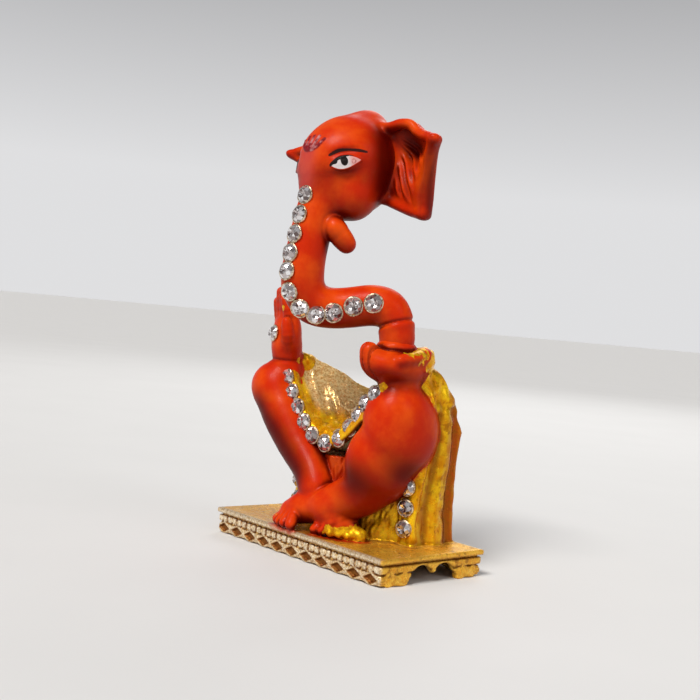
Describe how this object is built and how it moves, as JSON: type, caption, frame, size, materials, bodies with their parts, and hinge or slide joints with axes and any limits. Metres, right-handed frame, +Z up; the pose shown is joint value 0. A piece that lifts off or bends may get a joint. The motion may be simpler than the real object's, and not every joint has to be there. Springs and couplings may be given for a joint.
{
  "type": "ganesha idol",
  "caption": "Small open-bodied Ganesha idol: elephant head on a long trunk, raised and cupped hands, draped robe, crossed legs and a rhinestone trim on a stepped gold plinth.",
  "frame": {"origin": "middle of the plinth's footprint, on the plane it stands on", "axes": "+Z up; the idol faces -Y; +X is the idol's left"},
  "size_m": [0.046, 0.0317, 0.0795],
  "materials": {
    "red_enamel": "gloss orange-red enamel over cast metal, darker in the hollows",
    "gold_finish": "yellow lacquered gold plating over a fine cast texture",
    "rhinestone": "clear foil-backed faceted stones"
  },
  "bodies": {
    "root": {"plinth": "gold_finish", "robe_seat": "gold_finish", "robe_back": "gold_finish", "lap_cloth": "gold_finish", "left_drape": "gold_finish", "right_drape": "gold_finish", "left_cuff": "gold_finish", "right_cuff": "gold_finish", "left_leg": "red_enamel", "right_leg": "red_enamel", "left_foot": "red_enamel", "right_foot": "red_enamel", "left_hand": "red_enamel", "right_hand": "red_enamel", "sweet": "red_enamel", "trunk": "red_enamel", "head": "red_enamel", "left_ear": "red_enamel", "right_ear": "red_enamel", "left_tusk": "red_enamel", "right_tusk": "red_enamel", "trunk_stones": "rhinestone", "palm_stone": "rhinestone", "garland_stones": "rhinestone", "left_drape_stones": "rhinestone", "right_drape_stones": "rhinestone"}
  },
  "joints": []
}
